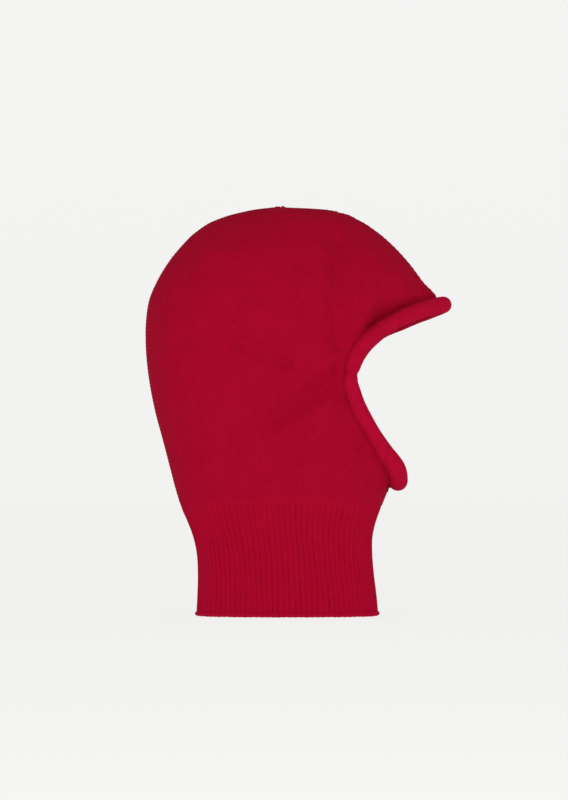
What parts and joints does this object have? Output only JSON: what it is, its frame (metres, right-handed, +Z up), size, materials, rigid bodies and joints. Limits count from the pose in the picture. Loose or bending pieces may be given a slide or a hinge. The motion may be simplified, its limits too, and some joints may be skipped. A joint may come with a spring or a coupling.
{
  "type": "balaclava",
  "caption": "Knitted pull-on balaclava: plain jersey hood with a small rolled brim over the face opening, and a ribbed neck tube.",
  "frame": {"origin": "centre of the neck opening, in the plane that the hem stands on", "axes": "+X out of the face opening, +Y to the wearer's left, +Z up along the neck towards the crown"},
  "size_m": [0.2913, 0.1604, 0.39],
  "materials": {
    "jersey": "plain jersey knit, soft matte wool, deep crimson red",
    "rolled_jersey": "jersey edge curled on itself, soft matte wool, deep crimson red",
    "rib_knit": "one by one rib knit, soft matte wool, deep crimson red",
    "linking_yarn": "chain of linking yarn, matte, deep crimson red",
    "label_cloth": "woven satin ribbon, off-white, blank",
    "label_thread": "sewing thread, off-white"
  },
  "bodies": {
    "root": {"hood_right": "jersey", "hood_left": "jersey", "brim_roll": "rolled_jersey", "chin_roll": "rolled_jersey", "neck_rib": "rib_knit", "hem_edge": "rib_knit", "neck_seam": "linking_yarn", "neck_back_seam": "rib_knit", "crown_seam": "linking_yarn", "back_seam": "linking_yarn", "throat_seam": "linking_yarn", "crown_tack": "linking_yarn", "temple_tack_right": "linking_yarn", "temple_tack_left": "linking_yarn", "brim_seam": "linking_yarn", "chin_seam": "linking_yarn", "care_label": "label_cloth", "label_stitches": "label_thread"}
  },
  "joints": []
}
